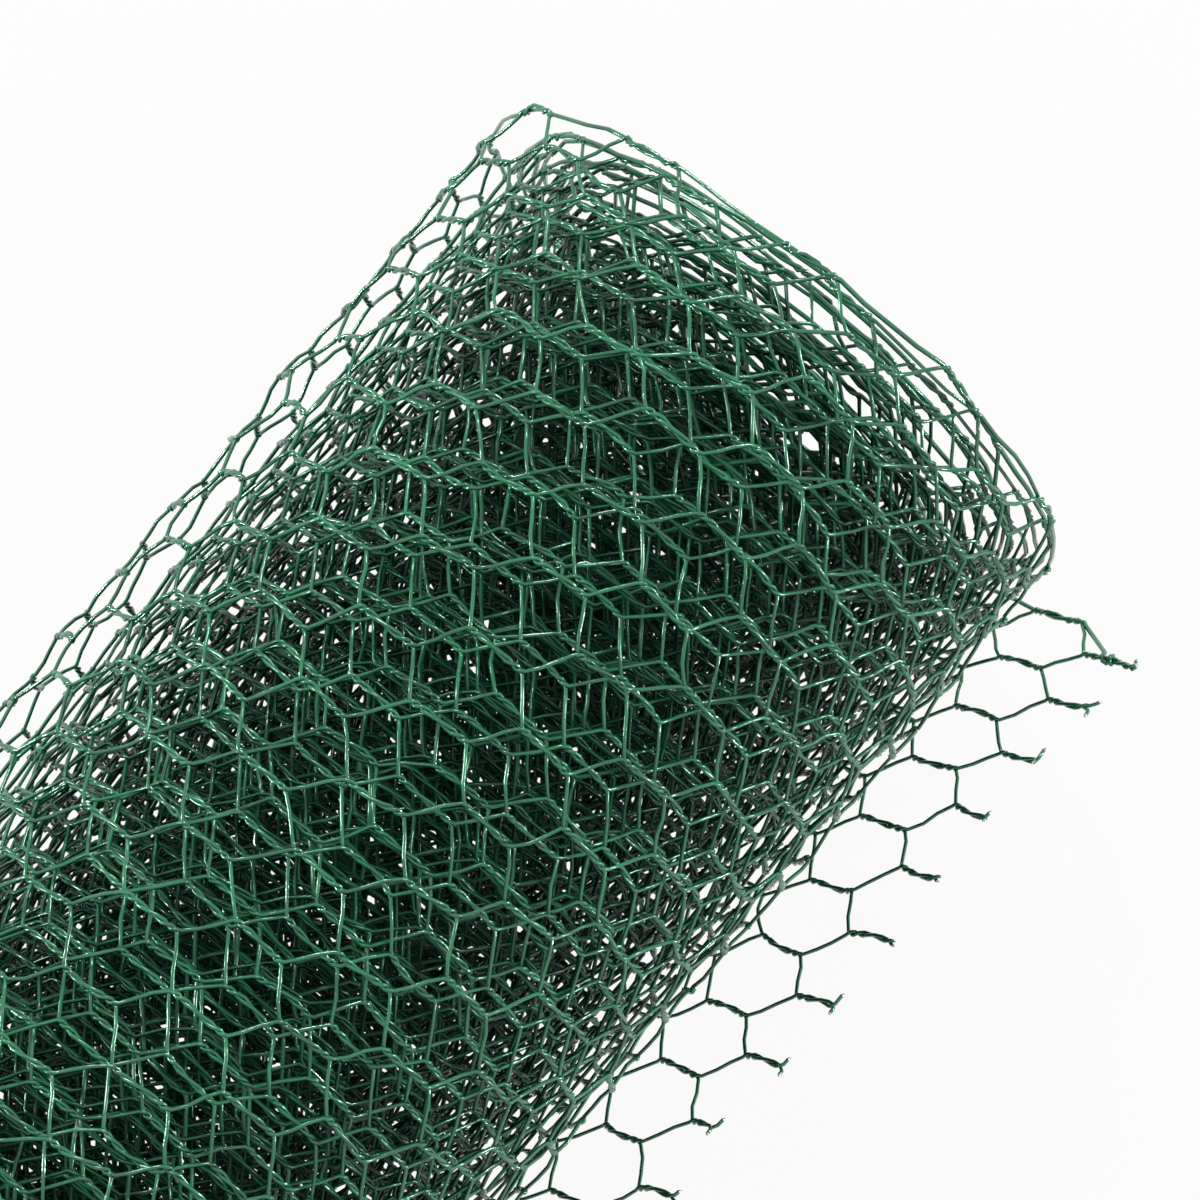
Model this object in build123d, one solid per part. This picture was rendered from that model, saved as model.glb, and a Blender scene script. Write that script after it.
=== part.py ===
from build123d import *
from math import cos, radians, sin
import os

# A roll of hexagonal wire netting (chicken wire), plastic coated, lying on its side.
# The whole roll is one length of netting. Most of it is wound tight round an open bore. The last
# turn has sprung loose and stands off the others, and the cut end leaves under the roll and curls
# up beside it. The roll lies along X, the cut end reaches towards -Y, and Z = 0 is the floor.

# Driving dimensions, in millimetres and degrees
roll_width = 500.0            # width of the netting, which is the length of the roll
bore_radius = 28.0            # open middle that the netting was wound round
wound_radius = 98.0           # outside of the tight turns
netting_thickness = 2.0       # two wires twisted together
turn_pitch = 2.9              # from one tight turn to the next
edge_recess = 17.0            # how far the inner turns stand in at the near end of the roll
recess_turns = 9              # turns over which they come to stand in as far as that
edge_stagger = 2.0            # how far every other turn stands in beside the next, where they are level
stagger_run = 3.0             # turn of the roll over which its edge comes level again
loose_gap = 12.0              # widest space between the loose turn and the tight turns
nesting = 0.4                 # how far the tight turns settle into the netting they lie on
tail_slide = 7.7              # how far the cut end lies flat past the lowest line of the tight turns
tail_bend_radius = 121.0      # outside of the cut end's first bend, next to the floor
tail_bend_angle = 40.3
tail_reach_radius = 720.0     # outside of the slight bend that follows
tail_tip_slope = 45.8         # slope of the netting at the cut edge

# Places that follow from them, in the roll's section. Its first axis points to the cut end's side
# and starts at the middle of the tight turns, and its second is the height above the floor.
lower_radius = wound_radius + turn_pitch / 2
axis_height = lower_radius + netting_thickness - nesting
upper_centre = Vector(0, axis_height)
lower_centre = Vector(turn_pitch / 2, axis_height)
loose_reach = wound_radius + loose_gap + netting_thickness
loose_radius = (wound_radius + turn_pitch + loose_reach) / 2
tail_reach = (
    lower_centre.X
    + tail_slide
    + tail_bend_radius * sin(radians(tail_bend_angle))
    + tail_reach_radius * (sin(radians(tail_tip_slope)) - sin(radians(tail_bend_angle)))
)
box_middle = (tail_reach - loose_reach) / 2
inner_turns = int((wound_radius - bore_radius) / turn_pitch)


def section_plane(along_roll):
    """The plane across the roll at a place along it. Its first axis points to the cut end's side, its
    second points up and its normal points towards -X, so its angles run counter-clockwise from there."""
    return Plane(origin=(along_roll, box_middle, 0), x_dir=(0, -1, 0), z_dir=(-1, 0, 0))


def tight_turns():
    """The tight turns as two half discs, one half a turn's growth larger than the other."""
    upper = CenterArc(upper_centre, wound_radius, 0, 180)
    lower = CenterArc(lower_centre, lower_radius, 180, 180)
    return make_face([upper, lower, Line(lower @ 1, upper @ 0)])


def netting_side(depth):
    """One side of the loose turn and the cut end, at a depth under the netting's outer side."""
    loose_centre = Vector(wound_radius + turn_pitch - loose_radius, axis_height)
    over = CenterArc(loose_centre, loose_radius - depth, 0, 180)
    side_centre = Vector(axis_height - loose_reach, axis_height)
    down = CenterArc(side_centre, axis_height - depth, 180, 90)
    bend_centre = Vector(lower_centre.X + tail_slide, tail_bend_radius)
    bend = CenterArc(bend_centre, tail_bend_radius - depth, 270, tail_bend_angle)
    turned = radians(tail_bend_angle)
    reach_centre = bend_centre + Vector(-sin(turned), cos(turned)) * (tail_reach_radius - tail_bend_radius)
    reach = CenterArc(
        reach_centre, tail_reach_radius - depth, 270 + tail_bend_angle, tail_tip_slope - tail_bend_angle
    )
    return [over, down, Line(down @ 1, bend @ 0), bend, reach]


def loose_netting():
    """The loose turn, from where it leaves the tight turns, and the cut end that it runs into."""
    outer_side = netting_side(0)
    inner_side = netting_side(netting_thickness)
    start = Line(outer_side[0] @ 0, inner_side[0] @ 0)
    cut_edge = Line(outer_side[-1] @ 1, inner_side[-1] @ 1)
    return make_face(outer_side + inner_side + [start, cut_edge])


def one_turn(number):
    """The place of one of the tight turns, counted inwards, up to just short of where the next begins."""
    radius = wound_radius - number * turn_pitch
    inner_side = [
        CenterArc(upper_centre, radius, 0, 180),
        CenterArc(lower_centre, radius + turn_pitch / 2, 180, 180 - stagger_run),
    ]
    outer_side = [
        CenterArc(upper_centre, radius + turn_pitch, 0, 180),
        CenterArc(lower_centre, radius + 1.5 * turn_pitch, 180, 180 - stagger_run),
    ]
    first = Line(inner_side[0] @ 0, outer_side[0] @ 0)
    last = Line(inner_side[1] @ 1, outer_side[1] @ 1)
    return make_face(inner_side + outer_side + [first, last])


def netting_roll():
    """The whole roll as one solid, with its bore, and with its turns showing on both ends."""
    bore = make_face([CenterArc(upper_centre, bore_radius, 0, 360)])
    section = tight_turns() + loose_netting() - bore
    near_end = roll_width / 2
    roll = extrude(section_plane(near_end) * section, amount=roll_width)
    # the roll was wound tighter and narrower at first, so its inner turns stand in at the near end
    for number in range(1, recess_turns + 1):
        stands_in = edge_recess * number / recess_turns
        inner_turns_face = make_face([CenterArc(upper_centre, wound_radius - number * turn_pitch, 0, 360)])
        roll -= extrude(section_plane(near_end) * inner_turns_face, amount=stands_in)
    # every other turn was wound a little further along, so it stands in at one end,
    # and the turns between them stand in at the other
    for number in range(2, inner_turns):
        if number % 2 == 1:
            plane = section_plane(edge_stagger - roll_width / 2)
            roll -= extrude(plane * one_turn(number), amount=edge_stagger)
        elif number > recess_turns + 1:
            plane = section_plane(near_end - edge_recess)
            roll -= extrude(plane * one_turn(number), amount=edge_stagger)
    return roll.solids()[0]


os.makedirs("parts", exist_ok=True)
export_step(netting_roll(), "parts/netting_roll.step")
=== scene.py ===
from math import cos, pi, radians, sin

import bpy
import numpy as np
from mathutils import Matrix, Vector


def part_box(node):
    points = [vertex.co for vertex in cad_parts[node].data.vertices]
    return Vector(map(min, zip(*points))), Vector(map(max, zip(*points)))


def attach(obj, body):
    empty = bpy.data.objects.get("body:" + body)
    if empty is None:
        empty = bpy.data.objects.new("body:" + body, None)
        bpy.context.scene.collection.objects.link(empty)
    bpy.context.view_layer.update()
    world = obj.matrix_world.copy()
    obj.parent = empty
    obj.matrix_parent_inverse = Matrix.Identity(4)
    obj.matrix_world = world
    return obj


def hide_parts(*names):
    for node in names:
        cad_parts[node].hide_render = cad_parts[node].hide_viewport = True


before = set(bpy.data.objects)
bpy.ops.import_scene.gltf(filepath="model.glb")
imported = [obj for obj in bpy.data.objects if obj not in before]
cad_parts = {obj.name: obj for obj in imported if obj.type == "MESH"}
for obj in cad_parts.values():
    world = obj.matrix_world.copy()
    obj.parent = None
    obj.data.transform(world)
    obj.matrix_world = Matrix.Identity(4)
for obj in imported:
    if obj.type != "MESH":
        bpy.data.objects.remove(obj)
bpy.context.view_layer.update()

# The cut end and the loose turn
# Hexagonal netting of galvanised steel wire in a green plastic coat. Pairs of wires are twisted
# together by machine, part, and are twisted with the wires beside them. This stretch is the last of
# the roll: it curls up from the floor to where it was snipped, and stands off the turns under it.

wire = 0.00115                # thickness over the plastic coat
edge_wire = 0.0013
netting_width = 0.5
netting_thickness = 0.002     # two wires twisted together
twist_length = 0.020
single_run = 0.0091           # how far a single wire runs on along the netting between two twists
row_pitch = twist_length + single_run
stub_tip = 0.004              # from the end of the netting to the first row of twists
edge_lay = 0.00035            # how far the twists bend an edge wire off its line
edge_mesh_lay = 0.00075       # how far off that line the wire twisted round it runs
half_pitches = 42             # half pitches of the mesh across the netting, narrower beside its edges
near_half_pitches = [0.0108, 0.0086, 0.0090, 0.0116, 0.0102, 0.0108]
far_half_pitches = [0.010, 0.010, 0.011, 0.009]
inner_half_pitches = half_pitches - len(near_half_pitches) - len(far_half_pitches)
inner_half_pitch = (netting_width - sum(near_half_pitches) - sum(far_half_pitches)) / inner_half_pitches
steps_across = near_half_pitches + [inner_half_pitch] * inner_half_pitches + far_half_pitches
column_place = np.concatenate([[0], np.cumsum(steps_across)])

# Where the netting runs in the roll's section, at the middle of its thickness, from the cut end
# inwards: each bend has its radius and the angle it turns through.
wound_radius = 0.098
turn_pitch = 0.0029
loose_reach = 0.112
tight_turns = 24
slack = [0.0025, 0.0020, 0.0010]       # how far the outermost tight turns stand out, away from the cut end
nesting = 0.0004              # how far the tight turns settle into the netting they lie on
lower_radius = wound_radius + turn_pitch / 2
axis_height = lower_radius + netting_thickness - nesting
loose_radius = (wound_radius + turn_pitch + loose_reach) / 2
tail_slide = 0.0077           # how far the cut end lies flat past the lowest line of the tight turns
tail_bend, tail_bend_angle = 0.121, 40.3
tail_reach, tail_tip_slope = 0.720, 45.8
floor_run = turn_pitch / 2 + tail_slide + loose_reach - axis_height
before_tip = 0.012            # the section is drawn this far past the cut, for the splayed wires
run_step = 0.0002             # between two places at which the section is worked out


def netting_run():
    """Distances along the netting, and the place in the section and the heading at each of them."""
    middle = netting_thickness / 2
    bends = [
        (before_tip, 0),
        (tail_reach - middle, tail_tip_slope - tail_bend_angle),
        (tail_bend - middle, tail_bend_angle),
        (floor_run, 0),
        (axis_height - middle, 90),
        (loose_radius - middle, 180),
    ]
    for turn in range(tight_turns):
        inwards = turn * turn_pitch + middle
        looser = slack[turn] / 2 if turn < len(slack) else 0
        bends += [(lower_radius - inwards + looser, 180), (wound_radius - inwards + looser, 180)]
    lengths = [radius * radians(angle) if angle else radius for radius, angle in bends]
    ends = np.concatenate([[0], np.cumsum(lengths)]) - before_tip
    turned = np.concatenate([[0], np.cumsum([radians(angle) for radius, angle in bends])])
    along = np.arange(ends[0], ends[-1], run_step)
    heading = pi + radians(tail_tip_slope) - np.interp(along, ends, turned)
    across = np.cumsum(np.cos(heading)) * run_step
    height = np.cumsum(np.sin(heading)) * run_step
    on_floor = height[:np.argmax(along > ends[4])].min()
    return along, across - across.min() - loose_reach + middle, height - on_floor + middle, heading


run_along, run_across, run_height, run_heading = netting_run()
rows = int((run_along[-1] - stub_tip) / row_pitch)

# The inner turns were drawn narrower as they were wound, and stand in at the near end.
edge_recess = 0.017
recess_turns = 9
level_turns = 0.5             # turns inwards before they begin to stand in
section_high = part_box("netting_roll")[1]
section_middle = section_high.y - loose_reach
roll_end = section_high.x
# The roll was wound tighter towards its far end, and the cut end wasn't.
cut_end_to_roll = [0.15, 0.30]          # along the netting, where the one passes into the other
narrowing = [0.0, 0.05]                 # the share by which each would narrow over the whole roll
narrows_about = [0.0, -0.100]           # the place that stays as it is, in Y from the roll's middle
narrowing_stops = 0.35                  # from the near end
# How far the netting drifted towards the near end as it was wound, by its distance from the cut. The
# outer turns stand in on the side away from the cut end.
edge_drift = [
    (0.0, 0.0075), (0.024, 0.0035), (0.053, 0.0005), (0.10, 0.0), (0.17, 0.0), (0.30, -0.0085), (0.64, 0.0),
    (0.96, -0.0085), (1.27, 0.0010), (1.57, -0.0055), (1.87, 0.0010), (2.17, -0.0030), (2.5, 0.0),
]
drift_along, drift_out = zip(*edge_drift)
lowest = 0.0007               # height of a wire's middle where it lies on the floor


def rolled(flat):
    """Places on the flat netting (along from the cut, across, off its middle) as places on the roll."""
    along, across, off = flat[:, 0], flat[:, 1], flat[:, 2]
    heading = np.interp(along, run_along, run_heading)
    side = np.interp(along, run_along, run_across) - off * np.sin(heading)
    height = np.interp(along, run_along, run_height) + off * np.cos(heading)
    turns_in = (-pi / 2 - heading) / (2 * pi)
    stands_in = edge_recess * np.clip((turns_in - level_turns) / recess_turns, 0, 1)
    from_edge = stands_in + across * (1 - stands_in / netting_width)
    x = roll_end - from_edge + np.interp(along, drift_along, drift_out)
    narrowed = np.interp(along, cut_end_to_roll, narrowing) * np.minimum(roll_end - x, narrowing_stops)
    size = 1 - narrowed / netting_width
    fixed = np.interp(along, cut_end_to_roll, narrows_about)
    y = section_middle + fixed - (side + fixed) * size
    return np.column_stack([x, y, np.maximum(height * size, lowest)])


# How unevenly the netting lies: the size of each kind of unevenness, how far it shifts a wire along,
# across and off the netting, and its seed.
leaning = (0.060, (0.0010, 0.0010, 0.0004), 13)
pulling = (0.250, (0.0015, 0.0040, 0.0), 14)
bending = (0.014, (0.0008, 0.0008, 0.0005), 11)
kinking = (0.006, (0.0002, 0.0002, 0.0002), 12)
grid_margin = 8               # squares of the random grid before the cut and beside the netting
edge_strip = 0.04             # beside an edge, where the edge wire keeps the netting from being pulled


def wander(flat, step, amount, seed):
    """A soft random shift for each place on the flat netting: places within a step shift alike."""
    place = flat[:, :2] / step + grid_margin
    low = np.floor(place).astype(int)
    part = place - low
    part = part * part * (3 - 2 * part)
    size = np.array([run_along[-1], netting_width]) / step
    squares = size.astype(int) + 2 * grid_margin + 4
    grid = np.random.default_rng(seed).normal(size=(squares[0], squares[1], 3))
    a, b = low[:, 0], low[:, 1]
    u, v = part[:, :1], part[:, 1:]
    near = grid[a, b] * (1 - v) + grid[a, b + 1] * v
    far = grid[a + 1, b] * (1 - v) + grid[a + 1, b + 1] * v
    return (near * (1 - u) + far * u) * np.array(amount)


def uneven(flat, looseness):
    """The flat netting as it is once handled: its twists lean, and its wires aren't quite straight."""
    shift = wander(flat, *leaning)
    pulled = wander(flat, *pulling)
    strips = [0, edge_strip, netting_width - edge_strip, netting_width]
    pulled[:, 1] *= np.interp(flat[:, 1], strips, [0.2, 1, 1, 0.2])
    # the cut end lies more evenly than the roll
    shift = (shift + pulled) * np.interp(flat[:, :1], [0, cut_end_to_roll[0]], [0.25, 1])
    shift += wander(flat, *bending)
    shift += wander(flat, *kinking)
    shift[:, 2] *= looseness
    return flat + shift


def column_of(strand, row):
    """How many half pitches from the near edge a wire is twisted in a row, as it goes to and fro."""
    place = (2 * strand + 1 + row) % (2 * half_pitches)
    return half_pitches - np.abs(place - half_pitches)


def wound(steps):
    """Parts of a twist's length at even steps of its turning, tight at its ends and slack between."""
    slackness = 0.75
    part = np.linspace(0, 1, 201)
    turned = part + slackness * np.sin(2 * pi * part) / (2 * pi)
    return np.interp(np.linspace(0, 1, steps + 1), turned, part)


def netting_wire(strand, first_row, last_row, twist_turns, twist_steps, single_steps):
    """The course of one wire on the flat netting, through its twists and the singles between them."""
    row = np.arange(first_row, last_row + 1)
    column, before, after = column_of(strand, row), column_of(strand, row - 1), column_of(strand, row + 1)
    side_in, side_out = before - column, after - column
    at_edge = side_in == side_out
    lay = np.where(at_edge, edge_mesh_lay, wire / 2)
    turn = 2 * pi * (twist_turns + 0.5 * at_edge)[:, None] * np.linspace(0, 1, twist_steps + 1)
    start = stub_tip + row_pitch * row
    twist = np.stack([
        start[:, None] + twist_length * wound(twist_steps),
        column_place[column][:, None] + (lay * side_in)[:, None] * np.cos(turn),
        (lay * side_in)[:, None] * np.sin(turn),
    ], axis=-1)
    after_lay = np.where((after == 0) | (after == half_pitches), edge_mesh_lay, wire / 2)
    goal = np.stack([
        start + row_pitch, column_place[after] - after_lay * side_out, np.zeros(len(row))
    ], axis=-1)[:, None, :]
    leave = twist[:, -1:, :]
    # the curve sets off and arrives slowly, and this spaces its points evenly
    u = np.linspace(0, 1, single_steps + 1)[1:-1]
    u = (u - 0.6 * (3 * u**2 - 2 * u**3 - u))[None, :, None]
    pull = np.array([0.0035, 0, 0])      # how strongly it keeps to the netting's length at both ends
    single = (
        (2 * u**3 - 3 * u**2 + 1) * leave + (u**3 - 2 * u**2 + u) * pull
        + (-2 * u**3 + 3 * u**2) * goal + (u**3 - u**2) * pull
    )
    course = np.concatenate([twist, single], axis=1).reshape(-1, 3)
    return np.vstack([course, goal[-1]])


# How each pair of cut wires was left at the near stubs, in millimetres: how much of the twist is left,
# and how far the wire on the near side and the one on the far side reach outwards, across and upwards.
stub_shapes = [
    (20.0, (-0.6, -4.0, 1.0), (1.2, -1.4, 0.3)),
    (18.0, (3.4, -2.2, 0.5), (3.3, 4.1, 0.0)),
    (14.5, (0.2, -6.1, 1.0), (1.3, 2.2, -0.5)),
    (15.5, (0.9, -3.5, 0.5), (1.9, 2.7, 0.0)),
    (17.5, (1.5, -0.5, 0.2), (1.0, 0.5, -0.2)),
    (17.0, (1.4, -0.6, 0.2), (1.2, 0.4, -0.3)),
    (15.0, (0.6, -5.2, 0.8), (2.5, 3.2, -0.4)),
    (16.5, (0.5, -4.4, 0.6), (2.4, 3.0, -0.2)),
    (13.0, (0.8, -4.6, 0.9), (2.6, 3.4, -0.4)),
]
chisel = 0.0009               # length of the slanting cut at a wire's tip
tip_size = 0.35               # of the wire's thickness, at the very end of that cut


def snipped(course, strand, chance):
    """A wire's course with its first twist cut a little short and the end of the wire splayed."""
    column = column_of(strand, 0)
    on_near_side = column_of(strand, 1) < column
    if column // 2 < len(stub_shapes):
        left, near_reach, far_reach = stub_shapes[column // 2]
    else:
        left = chance.uniform(13, 19)
        near_reach = (chance.uniform(0, 3), -chance.uniform(0.5, 5), chance.uniform(0, 1))
        far_reach = (chance.uniform(0, 3), chance.uniform(0.5, 4), chance.uniform(-0.5, 0.5))
    out, across, upwards = np.array(near_reach if on_near_side else far_reach) / 1000
    kept = course[course[:, 0] > stub_tip + twist_length - left / 1000]
    reach = np.array([-out, across, upwards])
    tip = kept[0] + reach
    # it runs straight on for a little before it bends away
    bend = kept[0] + reach * 0.3 + [-0.0007, 0, 0]
    return np.vstack([tip, tip - reach / np.linalg.norm(reach) * chisel, bend, kept])


def drawn_wires(name, courses, thickness, sides, coat, pointed=False):
    """Wires along their courses as one mesh of closed bars, all of them riding on the roll."""
    # a bar with few sides is made to look as thick as the round wire
    radius = thickness / 2 * pi / (sides * sin(pi / sides))
    outline = bpy.data.curves.new(name + "_outline", "CURVE")
    ring = outline.splines.new("POLY")
    ring.points.add(sides - 1)
    for number, point in enumerate(ring.points):
        turn = -2 * pi * number / sides
        point.co = (radius * cos(turn), radius * sin(turn), 0, 1)
    ring.use_cyclic_u = True
    outline_piece = bpy.data.objects.new(name + "_outline", outline)
    bpy.context.scene.collection.objects.link(outline_piece)
    curve = bpy.data.curves.new(name, "CURVE")
    curve.dimensions = "3D"
    curve.bevel_mode = "OBJECT"
    curve.bevel_object = outline_piece
    curve.use_fill_caps = True
    for course in courses:
        spline = curve.splines.new("POLY")
        spline.points.add(len(course) - 1)
        spline.points.foreach_set("co", np.column_stack([course, np.ones(len(course))]).ravel())
        if pointed:
            spline.points[0].radius = tip_size
    piece = bpy.data.objects.new(name, curve)
    bpy.context.scene.collection.objects.link(piece)
    bpy.ops.object.select_all(action="DESELECT")
    piece.select_set(True)
    bpy.context.view_layer.objects.active = piece
    bpy.ops.object.convert(target="MESH")
    piece = bpy.context.view_layer.objects.active
    bpy.data.objects.remove(outline_piece)
    bpy.ops.object.mode_set(mode="EDIT")
    bpy.ops.mesh.select_all(action="SELECT")
    bpy.ops.mesh.remove_doubles(threshold=0.000001)      # closes each bar at its caps
    bpy.ops.object.mode_set(mode="OBJECT")
    piece.data.materials.append(coat)
    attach(piece, "root")
    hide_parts("netting_roll")
    return piece


def uneven_plastic():
    """The effect that every coat shares: a green that is paler in places, and a lumpy surface."""
    group = bpy.data.node_groups.new("uneven_plastic", "ShaderNodeTree")
    for name, kind, value in [
        ("Dark", "NodeSocketColor", (0.003, 0.05, 0.02, 1)),
        ("Pale", "NodeSocketColor", (0.01, 0.14, 0.06, 1)),
        ("Cloud Scale", "NodeSocketFloat", 60),
        ("Lump Scale", "NodeSocketFloat", 900),
        ("Lump Strength", "NodeSocketFloat", 0.6),
    ]:
        group.interface.new_socket(name, in_out="INPUT", socket_type=kind).default_value = value
    group.interface.new_socket("Green", in_out="OUTPUT", socket_type="NodeSocketColor")
    group.interface.new_socket("Normal", in_out="OUTPUT", socket_type="NodeSocketVector")
    nodes, links = group.nodes, group.links
    given, result = nodes.new("NodeGroupInput"), nodes.new("NodeGroupOutput")
    place = nodes.new("ShaderNodeTexCoord")
    cloud = nodes.new("ShaderNodeTexNoise")
    cloud.inputs["Detail"].default_value = 3
    links.new(place.outputs["Object"], cloud.inputs["Vector"])
    links.new(given.outputs["Cloud Scale"], cloud.inputs["Scale"])
    paleness = nodes.new("ShaderNodeMapRange")
    paleness.inputs["From Min"].default_value = 0.3
    paleness.inputs["From Max"].default_value = 0.75
    links.new(cloud.outputs["Fac"], paleness.inputs["Value"])
    green = nodes.new("ShaderNodeMix")
    green.data_type = "RGBA"
    links.new(paleness.outputs["Result"], green.inputs[0])
    links.new(given.outputs["Dark"], green.inputs[6])
    links.new(given.outputs["Pale"], green.inputs[7])
    links.new(green.outputs[2], result.inputs["Green"])
    lumps = nodes.new("ShaderNodeTexNoise")
    lumps.inputs["Detail"].default_value = 2
    links.new(place.outputs["Object"], lumps.inputs["Vector"])
    links.new(given.outputs["Lump Scale"], lumps.inputs["Scale"])
    bump = nodes.new("ShaderNodeBump")
    bump.inputs["Distance"].default_value = 0.0002
    links.new(given.outputs["Lump Strength"], bump.inputs["Strength"])
    links.new(lumps.outputs["Fac"], bump.inputs["Height"])
    links.new(bump.outputs["Normal"], result.inputs["Normal"])
    return group


uneven_group = uneven_plastic()


def plastic_coat(name, dark, pale, shine):
    """Dark green plastic, glossy and a little lumpy, and paler in places."""
    material = bpy.data.materials.new(name)
    material.use_nodes = True
    nodes, links = material.node_tree.nodes, material.node_tree.links
    shader = nodes["Principled BSDF"]
    surface = nodes.new("ShaderNodeGroup")
    surface.node_tree = uneven_group
    surface.inputs["Dark"].default_value = dark
    surface.inputs["Pale"].default_value = pale
    links.new(surface.outputs["Green"], shader.inputs["Base Color"])
    links.new(surface.outputs["Normal"], shader.inputs["Normal"])
    shader.inputs["Roughness"].default_value = 0.15
    shader.inputs["Specular IOR Level"].default_value = shine
    shader.inputs["Specular Tint"].default_value = (0.6, 1.0, 0.78, 1)
    shader.inputs["Coat Weight"].default_value = 0.3 * shine
    shader.inputs["Coat Roughness"].default_value = 0.1
    return material


def bare_steel():
    """The bright core of a wire where it was cut, a little scratched by the cutter."""
    material = bpy.data.materials.new("bare_steel")
    material.use_nodes = True
    nodes, links = material.node_tree.nodes, material.node_tree.links
    shader = nodes["Principled BSDF"]
    shader.inputs["Base Color"].default_value = (0.55, 0.56, 0.54, 1)
    shader.inputs["Metallic"].default_value = 1.0
    place = nodes.new("ShaderNodeTexCoord")
    scratches = nodes.new("ShaderNodeTexNoise")
    scratches.inputs["Scale"].default_value = 3000
    links.new(place.outputs["Object"], scratches.inputs["Vector"])
    dulness = nodes.new("ShaderNodeMapRange")
    dulness.inputs["To Min"].default_value = 0.25
    dulness.inputs["To Max"].default_value = 0.5
    links.new(scratches.outputs["Fac"], dulness.inputs["Value"])
    links.new(dulness.outputs["Result"], shader.inputs["Roughness"])
    return material


outer_coat = plastic_coat("green_plastic_coat", (0.005, 0.085, 0.036, 1), (0.014, 0.200, 0.090, 1), 1.0)
strands = range(half_pitches)
cut_rows, loose_rows = 6, 22             # the last row of twists in the cut end and in the loose turn
fine_turns, plain_turns = 2.5, 1.5       # turns in each twist, where it shows well and where it lies deep
loose_lift, edge_lift, tight_lift = 1.6, 1.0, 0.6  # how strongly unevenness lifts wires off the netting
chance = np.random.default_rng(5)
cut_courses = []
for strand in strands:
    whole_course = netting_wire(strand, 0, cut_rows, fine_turns, twist_steps=16, single_steps=3)
    cut_courses.append(rolled(uneven(snipped(whole_course, strand, chance), loose_lift)))
cut_piece = drawn_wires("cut_end", cut_courses, wire, 8, outer_coat, pointed=True)
cut_piece.data.materials.append(bare_steel())
# the slanting cuts show the steel under the coat
tips = np.array([course[0] for course in cut_courses])
for face in cut_piece.data.polygons:
    if np.linalg.norm(tips - face.center, axis=1).min() < chisel * 0.7:
        face.material_index = 1
loose_courses = []
for strand in strands:
    course = netting_wire(strand, cut_rows + 1, loose_rows, fine_turns, twist_steps=15, single_steps=3)
    loose_courses.append(rolled(uneven(course, loose_lift)))
drawn_wires("loose_turn", loose_courses, wire, 6, outer_coat)

# The tight turns
# The same netting, wound on itself turn by turn from the open bore outwards. It is drawn in lengths
# of a few turns each, plainer the deeper they lie, and with painted shade: darker, duller coats deeper in.

# painted shade: darker, less glossy copies of the green coat for the deeper turns, standing in for the shade
# that the outer turns cast on them
painted_shade_coat = plastic_coat("painted_shade_plastic_coat", (0.003, 0.055, 0.023, 1), (0.009, 0.130, 0.058, 1), 0.65)
painted_deep_shade_coat = plastic_coat("painted_deep_shade_plastic_coat", (0.002, 0.030, 0.013, 1), (0.005, 0.070, 0.032, 1), 0.35)
# each length's last turn, its turns in a twist, its points in a twist and a single, its wires' sides, and
# its coat, with more painted shade the deeper it lies
turn_lengths = [
    ("outer_tight_turns", 2, fine_turns, 12, 2, 4, outer_coat),
    ("second_tight_turns", 6, plain_turns, 8, 2, 3, painted_shade_coat),
    ("middle_tight_turns", 12, plain_turns, 6, 1, 3, painted_deep_shade_coat),
    ("inner_tight_turns", 24, plain_turns, 4, 1, 3, painted_deep_shade_coat),
]
first_row = loose_rows + 1
for name, last_turn, twist_turns, twist_steps, single_steps, sides, coat in turn_lengths:
    turns_end = run_heading[-1] if last_turn == tight_turns else -pi / 2 - 2 * pi * last_turn
    reached = run_along[np.argmax(run_heading <= turns_end)]
    last_row = min(int((reached - stub_tip) / row_pitch), rows) - 1
    courses = []
    for strand in strands:
        course = netting_wire(strand, first_row, last_row, twist_turns, twist_steps, single_steps)
        courses.append(rolled(uneven(course, tight_lift)))
    drawn_wires(name, courses, wire, sides, coat)
    first_row = last_row + 1
    if twist_turns == fine_turns:
        last_fine_row = last_row

# The edge wires
# A single thicker wire runs along each edge of the netting. The edge meshes are twisted round it, and
# at the cut its end is bent down and hooked on the first stub.

# The hook's wraps round the stub, in millimetres: along the netting from the cut, inwards across it
# from the stub's middle, and upwards.
hook_wraps = [
    (10.8, 1.5, 0.4), (11.2, 1.0, -1.1), (11.7, -0.4, -1.5), (12.2, -1.4, -0.6), (12.7, -1.3, 0.8),
    (13.2, -0.1, 1.5), (13.7, 1.2, 0.8), (14.2, 1.4, -0.6), (14.7, 0.3, -1.5), (15.3, -1.1, -1.1),
    (16.2, -2.1, 0.0),
]
hook_to_edge = (0.0320, 0.0006, 0.0002)  # where the straight run from the hook reaches the edge, in metres
edge_twist_steps = 14


def edge_course(side, column, stub_column):
    """The course of one edge wire on the flat netting, from its hook at the cut to the inner end."""
    edge, stub = column_place[column], column_place[stub_column]
    points = [(along / 1000, stub + side * inwards / 1000, up / 1000) for along, inwards, up in hook_wraps]
    points.append((hook_to_edge[0], edge + side * hook_to_edge[1], hook_to_edge[2]))
    plain_length = 2 * row_pitch - twist_length
    for row in range(1, rows, 2):
        start = stub_tip + row_pitch * row
        turns = (fine_turns if row <= last_fine_row else plain_turns) + 0.5
        for part, turned in zip(wound(edge_twist_steps), np.linspace(0, 1, edge_twist_steps + 1)):
            turn = 2 * pi * turns * turned
            points.append((
                start + twist_length * part, edge - side * edge_lay * cos(turn), -side * edge_lay * sin(turn)
            ))
        for part in [0.25, 0.5, 0.75]:
            points.append((start + twist_length + plain_length * part, edge - side * edge_lay, 0))
    return np.array(points)


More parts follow.
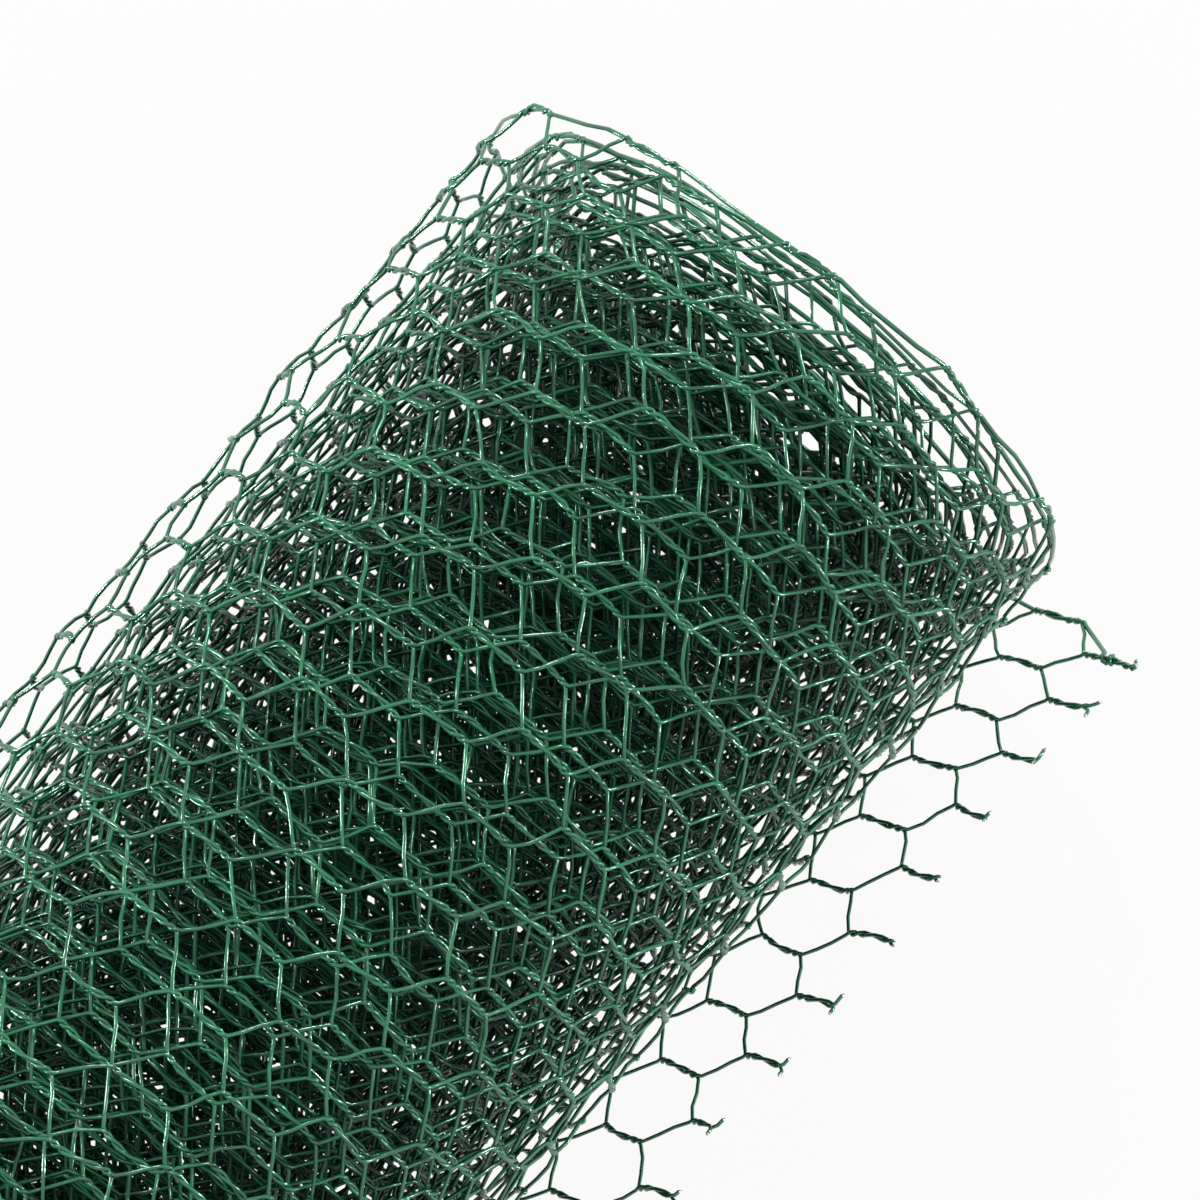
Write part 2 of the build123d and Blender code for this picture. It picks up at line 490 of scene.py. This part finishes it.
edges = [("near_edge_wire", 1, 0, 1), ("far_edge_wire", -1, half_pitches, half_pitches - 1)]
for name, side, column, stub_column in edges:
    course = rolled(uneven(edge_course(side, column, stub_column), edge_lift))
    drawn_wires(name, [course], edge_wire, 4, outer_coat)

# The floor
# A plain white sheet that the roll lies on.

def seen_rays(node_tree, most):
    """A socket that is most where the background is seen, also in gloss, and 0 where it gives light."""
    nodes, links = node_tree.nodes, node_tree.links
    path = nodes.new("ShaderNodeLightPath")
    level = path.outputs["Is Camera Ray"]
    for other in ["Is Glossy Ray", "Is Transmission Ray"]:
        either = nodes.new("ShaderNodeMath")
        either.operation = "MAXIMUM"
        links.new(level, either.inputs[0])
        links.new(path.outputs[other], either.inputs[1])
        level = either.outputs[0]
    scaled = nodes.new("ShaderNodeMath")
    scaled.operation = "MULTIPLY"
    scaled.inputs[1].default_value = most
    links.new(level, scaled.inputs[0])
    return scaled.outputs[0]


bpy.ops.mesh.primitive_plane_add(size=8, location=(0, 0, 0))
floor = bpy.context.object
floor.name = "floor"
paper = bpy.data.materials.new("white_paper")
paper.use_nodes = True
nodes, links = paper.node_tree.nodes, paper.node_tree.links
matt = nodes["Principled BSDF"]
matt.inputs["Base Color"].default_value = (0.6, 0.6, 0.6, 1)
matt.inputs["Roughness"].default_value = 0.9
glow = nodes.new("ShaderNodeEmission")
mix = nodes.new("ShaderNodeMixShader")
links.new(seen_rays(paper.node_tree, 0.93), mix.inputs["Fac"])
links.new(matt.outputs["BSDF"], mix.inputs[1])
links.new(glow.outputs["Emission"], mix.inputs[2])
links.new(mix.outputs["Shader"], nodes["Material Output"].inputs["Surface"])
floor.data.materials.append(paper)

# The light
# Three soft lamps, one low at each side of the roll and one beyond it, in a dim room with white walls.

world = bpy.data.worlds.new("bright_room")
bpy.context.scene.world = world
world.use_nodes = True
nodes, links = world.node_tree.nodes, world.node_tree.links
sky = nodes["Background"]
sky.inputs["Color"].default_value = (1, 1, 1, 1)
strength = nodes.new("ShaderNodeMapRange")
strength.inputs["To Min"].default_value = 0.3
strength.inputs["To Max"].default_value = 1.0
links.new(seen_rays(world.node_tree, 1.0), strength.inputs["Value"])
links.new(strength.outputs["Result"], sky.inputs["Strength"])

camera_azimuth, camera_elevation = radians(-49.99), radians(76)
back = Vector((
    sin(camera_azimuth) * cos(camera_elevation),
    -cos(camera_azimuth) * cos(camera_elevation),
    sin(camera_elevation),
))
right = Vector((cos(camera_azimuth), sin(camera_azimuth), 0))
forward = Vector((0, 0, 1)).cross(right)
aim = Vector((0.153, section_middle - 0.0057, 0.1082))  # the place on the roll at the picture's middle
lamp_size = 0.3
# each lamp's place from the aimed point, to the picture's right, to its top and upwards, and its power
for name, aside, beyond, height, power in [
    ("left_lamp", -1.74, 0.0, 0.47, 24.5),
    ("right_lamp", 1.74, 0.0, 0.47, 24.5),
    ("far_lamp", 0.0, 1.34, 1.20, 16.7),
]:
    lamp_data = bpy.data.lights.new(name, "AREA")
    lamp_data.shape = "DISK"
    lamp_data.size = lamp_size
    lamp_data.energy = power
    lamp = bpy.data.objects.new(name, lamp_data)
    bpy.context.scene.collection.objects.link(lamp)
    lamp.location = aim + right * aside + forward * beyond + Vector((0, 0, height))
    lamp.rotation_euler = (aim - lamp.location).to_track_quat("-Z", "Y").to_euler()

# The camera
# It looks down on the near end of the roll, as the photograph does.

camera_distance = 1.5
lens_to_frame = 4.245         # focal length over the width of the square picture
camera_data = bpy.data.cameras.new("camera")
camera_data.sensor_fit = "HORIZONTAL"
camera_data.lens = camera_data.sensor_width * lens_to_frame
camera = bpy.data.objects.new("camera", camera_data)
bpy.context.scene.collection.objects.link(camera)
turn = Matrix((right, back.cross(right), back)).transposed().to_4x4()
camera.matrix_world = Matrix.Translation(aim + back * camera_distance) @ turn
bpy.context.scene.camera = camera
bpy.context.scene.view_settings.view_transform = "Standard"
